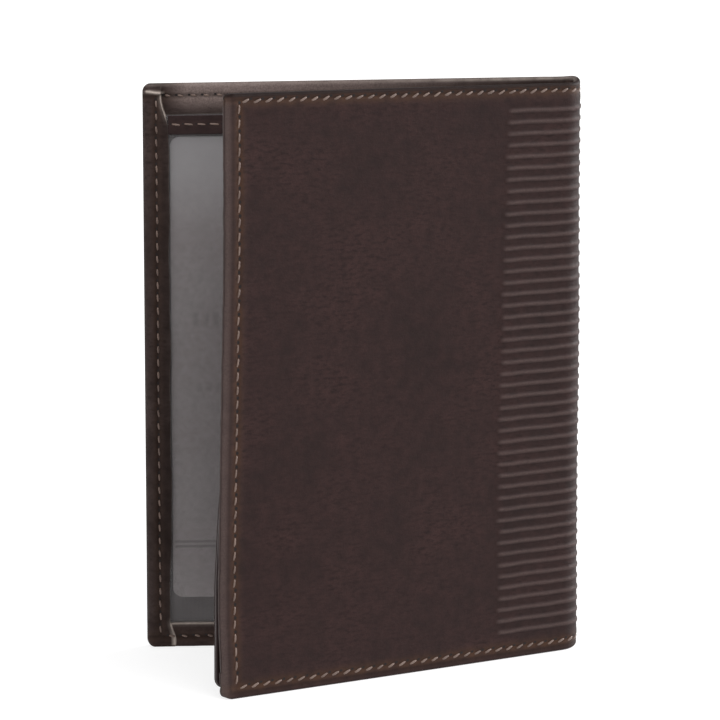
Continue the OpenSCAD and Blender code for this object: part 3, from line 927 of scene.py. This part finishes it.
pocket_thread = thread_piece("passport_pocket_stitches", [
    stitch_run(back, (pocket_row, HEM + 0.5), (pocket_row, HEIGHT - HEM - 0.5),
               lambda s, z: pocket_top(s, z) + pocket_swell(s, z), 1, -7, 301,
               length=2.1, width=0.26, hole=0.22)])
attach(pocket_thread, "back_cover")
finish_piece(pocket_thread, "thread", "passport_pocket_thread")


# Clear window pocket on the front cover. A low ridge crosses its sheet near the foot
def film_waves(s, z):
    ridge = 0.05 * smooth((z - 20.4) / 0.35) - 0.05 * smooth((z - 22.0) / 0.5)
    return 0.035 * wave2(s, z, 95, 26) + ridge


def strip_face(s, z):
    return np.full_like(s, STRIP_TOP)


film_rows = np.concatenate([[1.8, 3.0, 5.0], np.linspace(6.5, 19.5, 7), np.linspace(20, 23, 13),
                            np.linspace(25, WINDOW_TOP, 48)])
film = layer("window_sheet", front, lines(CURVE + 4.2, END - 2.0, 2.2, fine=FILM_STEPS), film_rows,
             (FILM_DEPTH, FILM_TOP), FILM, shape=film_waves, crease=35)
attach(film, "front_cover")
finish_piece(film, "clear_sheet", "window_film")

strip_row = WINDOW_TOP - 2.2
# The strip is drawn in the darker leather, as painted shade
strip = layer("window_top_strip", front,
              lines(WINDOW_START, END - HEM - 0.15, 1.2, fine=STRIP_STEPS),
              lines(STRIP_LOW, WINDOW_TOP, 0.35, fine=STRIP_STEPS), (STRIP_DEPTH, STRIP_TOP),
              LEATHER_IN_SHADED, rim=0.16, masks={"seam": seam_mask(strip_row, 1, 0.8)},
              shape=lambda s, z: 0.03 * wave2(s, z, 96, 9))
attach(strip, "front_cover")
finish_piece(strip, "inner_leather", "window_mouth_strip")

strip_thread = thread_piece("window_top_stitches", [
    stitch_run(front, (CURVE + 4.6, strip_row), (END - HEM - 0.5, strip_row), strip_face, 1, 6,
               302, length=2.3, width=0.22, hole=0.18, pitch=3.15)])
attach(strip_thread, "front_cover")
finish_piece(strip_thread, "thread", "window_mouth_thread")

side_row = CURVE + 7
side_strip = layer("window_side_band", front,
                   lines(WINDOW_START, CURVE + 10, 0.5, fine=STRIP_STEPS),
                   lines(HEM, STRIP_LOW - 0.15, 1.2, fine=STRIP_STEPS), (STRIP_DEPTH, STRIP_TOP),
                   LEATHER_IN, rim=0.16, masks={"seam": seam_mask(side_row, 0)},
                   shape=lambda s, z: 0.03 * wave2(s, z, 97, 9))
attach(side_strip, "front_cover")
finish_piece(side_strip, "inner_leather", "window_side_strip")

side_thread = thread_piece("window_side_stitches", [
    stitch_run(front, (side_row, HEM + 1), (side_row, STRIP_LOW - 1), strip_face, 1, -7, 303,
               length=2.1, width=0.26, hole=0.22)])
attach(side_thread, "front_cover")
finish_piece(side_thread, "thread", "window_side_thread")

# Card behind the clear sheet, with a double rule and two rows of blocks. Each row has its height,
# its half height, and where it begins and ends, measured from the cover's free edge
CARD_START, CARD_END, CARD_LOW, CARD_HIGH = CURVE + 11.6, END - HEM - 0.5, 12.3, 126.9
RULES = (25.1, 26.3)
BLOCK_ROWS = ((81.6, 1.9, 11.8, 44), (64.9, 1.2, 12.6, 38))
BLOCK_PITCH = 2.5


def printing(s, z, distance):
    """A ruled double line, and rows of plain blocks."""
    past = END - s
    ink = np.zeros_like(s)
    for level in RULES:
        ink = np.maximum(ink, np.exp(-((z - level) / 0.32) ** 4) * smooth((distance - 0.3) / 0.4))
    for level, half, first, last in BLOCK_ROWS:
        block = smooth(1.2 + 2.6 * np.cos((past - first - 0.7) * 2 * math.pi / BLOCK_PITCH))
        block = block * (past > first) * (past < last)
        ink = np.maximum(ink, 0.42 * block * np.exp(-((z - level) / half) ** 8))
    return ink


block_cols = np.arange(END - 44.5, END - 11.5, 0.42)
card_cols = lines(CARD_START, CARD_END, 1.5, fine=CARD_STEPS)
card_cols = card_cols[(card_cols < block_cols[0] - 0.2) | (card_cols > block_cols[-1] + 0.2)]
card_cols = np.sort(np.concatenate([card_cols, block_cols]))
card_rows = np.sort(np.concatenate([
    lines(CARD_LOW, CARD_HIGH, 1.5, fine=CARD_STEPS),
    *[level + np.array([-0.45, -0.25, 0, 0.25, 0.45]) for level in RULES],
    *[level + half * np.array([-1.15, -0.85, 0.85, 1.15]) for level, half, _, _ in BLOCK_ROWS]]))
# The card's upper part is painted lighter, as light falling in from above
card = layer("window_card_sheet", front, card_cols, card_rows,
             (CARD_DEPTH, CARD_TOP), CARD, radius=2.5, ends=(-1, 1), rim=0.07,
             masks={"print": printing, "painted_top_light": lambda s, z, distance: smooth((z - 99) / 24)},
             shape=lambda s, z: 0.03 * wave2(s, z, 98, 40))
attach(card, "card")
finish_piece(card, "card", "window_card")


# ---- slip leaf -----------------------------------------------

def leaf_layer(name, depths, top, material, slot, node, rim, masks=None):
    """One of the leaf's layers, from its foot up to top."""
    cols = lines(1.2, LEAF_LENGTH, 2.0, at_low=False, fine=RIM_STEPS * 1.2)
    rows = lines(LEAF_LOW, top, 2.0, fine=RIM_STEPS * 1.2)
    obj = layer(name, on_leaf, cols, rows, depths, material, radius=2.5, rim=rim, masks=masks,
                shape=lambda s, z: 0.04 * wave2(s, z, 99, 30))
    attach(obj, "leaf")
    return finish_piece(obj, slot, node)


def leaf_seam(s, z, distance):
    return np.exp(-((distance - LEAF_INSET) / 1.1) ** 2)


def leaf_run(start, stop, depth, out, tilt, seed):
    """Stitches on the leaf's face at a depth."""
    return stitch_run(on_leaf, start, stop, lambda s, z: 0 * s + depth, out, tilt, seed,
                      width=0.24, hole=0.22)


# The outer skin is drawn in the darker leather, as painted shade
leaf_layer("leaf_outer_skin", (0.0, 0.62), LEAF_HIGH, LEATHER_IN_SHADED, "inner_leather",
           "leaf_back_skin", 0.28, {"seam": leaf_seam})
leaf_layer("leaf_middle", (0.6, 0.92), LEAF_HIGH, LINING, "lining_cloth", "leaf_core", 0.1)
leaf_layer("leaf_inner_skin", (0.9, LEAF_THICKNESS), LEAF_MOUTH, LEATHER_IN, "inner_leather",
           "leaf_front_skin", 0.28, {"seam": leaf_seam})

leaf_end = LEAF_LENGTH - LEAF_INSET
leaf_foot, leaf_head = LEAF_LOW + LEAF_INSET, LEAF_HIGH - LEAF_INSET
leaf_thread = thread_piece("leaf_stitches", [
    leaf_run((3, leaf_foot), (leaf_end - 0.5, leaf_foot), 0, -1, -20, 401),
    leaf_run((3, leaf_head), (leaf_end - 0.5, leaf_head), 0, -1, -20, 402),
    leaf_run((leaf_end, LEAF_LOW + 3), (leaf_end, LEAF_HIGH - 3), 0, -1, 7, 403),
    leaf_run((3, leaf_foot), (leaf_end - 0.5, leaf_foot), LEAF_THICKNESS, 1, 20, 404),
    leaf_run((leaf_end, LEAF_LOW + 3), (leaf_end, LEAF_MOUTH - 0.5), LEAF_THICKNESS, 1, -7, 405)])
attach(leaf_thread, "leaf")
finish_piece(leaf_thread, "thread", "leaf_thread")

mouth_row = LEAF_MOUTH - LEAF_INSET
leaf_mouth = thread_piece("leaf_mouth_stitches", [
    leaf_run((3, mouth_row), (leaf_end - 1, mouth_row), LEAF_THICKNESS, 1, 20, 406)])
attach(leaf_mouth, "leaf")
finish_piece(leaf_mouth, "thread", "leaf_mouth_thread")


# The strip that carries the leaf runs from the spine's lining to the leaf's root
def on_hinge(s, d, z):
    s, d, z = (np.asarray(v, float) for v in np.broadcast_arrays(s, d, z))
    return np.stack([LEAF_AXIS[0] + s, LEAF_AXIS[1] + d, z], -1)


on_hinge.flip = True
hinge = layer("leaf_hinge_strip", on_hinge, np.linspace(-1.5, 3.75, 28),
              lines(LEAF_LOW, LEAF_HIGH, 1.5, fine=RIM_STEPS), (-0.36, 0.36), LEATHER_IN, rim=0.3,
              shape=lambda s, z: 0.03 * wave2(s, z, 94, 12))
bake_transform(hinge)
finish_piece(hinge, "inner_leather", "leaf_hinge_tab")


# ---- camera, floor and light ---------------------------------

# The camera was fitted to the outline's corners in the photo
camera_data = bpy.data.cameras.new("camera")
camera_data.lens = 172.5
camera_data.sensor_width = 36
camera_data.clip_start, camera_data.clip_end = 0.05, 50
camera = bpy.data.objects.new("camera", camera_data)
bpy.context.scene.collection.objects.link(camera)
camera.location = (-0.2809, -0.7811, 0.1767)
camera.rotation_euler = (math.radians(90 - 7.1), 0, math.radians(-19.4))
bpy.context.scene.camera = camera

floor_look = Look("pale_floor", Roughness=0.9, Specular_IOR_Level=0.1)
floor_look.set("Base Color", floor_look.mix(floor_look.noise(2.0), (0.30,) * 3, (0.33,) * 3))
floor_look.shader.inputs["Emission Color"].default_value = (1, 1, 1, 1)
floor_look.shader.inputs["Emission Strength"].default_value = 0.80
floor_reach, squares = 8.0, 8      # metres each way from the middle, and squares along a side
row = squares + 1
floor_mesh = bpy.data.meshes.new("floor")
floor_mesh.from_pydata([(x, y, -0.0001) for x in np.linspace(-floor_reach, floor_reach, row)
                        for y in np.linspace(-floor_reach, floor_reach, row)], [],
                       [(i * row + j, (i + 1) * row + j, (i + 1) * row + j + 1, i * row + j + 1)
                        for i in range(squares) for j in range(squares)])
floor_mesh.materials.append(floor_look.material)
floor = bpy.data.objects.new("floor", floor_mesh)
bpy.context.scene.collection.objects.link(floor)


def sun_light(name, way, strength, spread):
    """A soft even light that comes from the direction way."""
    data = bpy.data.lights.new(name, "SUN")
    data.energy, data.angle = strength, math.radians(spread)
    light = bpy.data.objects.new(name, data)
    bpy.context.scene.collection.objects.link(light)
    light.rotation_euler = (math.atan2(math.hypot(way[0], way[1]), way[2]), 0,
                            math.atan2(way[0], -way[1]))


sun_light("key", (0.22, -0.58, 0.78), 2.25, 45)
sun_light("right", (0.95, 0.18, 0.30), 3.1, 40)
sun_light("left", (-0.95, -0.30, 0.25), 0.72, 40)

# The surroundings look white, and light the object less than they show
world = bpy.data.worlds.new("studio")
world.use_nodes = True
tree = world.node_tree
shown = tree.nodes["Background"]
shown.inputs["Color"].default_value = (1, 1, 1, 1)
shown.inputs["Strength"].default_value = 1.0
lighting = tree.nodes.new("ShaderNodeBackground")
lighting.inputs["Color"].default_value = (1, 1, 1, 1)
lighting.inputs["Strength"].default_value = 0.42
seen = tree.nodes.new("ShaderNodeLightPath")
both = tree.nodes.new("ShaderNodeMixShader")
tree.links.new(seen.outputs["Is Camera Ray"], both.inputs[0])
tree.links.new(lighting.outputs[0], both.inputs[1])
tree.links.new(shown.outputs[0], both.inputs[2])
tree.links.new(both.outputs[0], tree.nodes["World Output"].inputs["Surface"])
bpy.context.scene.world = world
bpy.context.scene.view_settings.view_transform = "Standard"
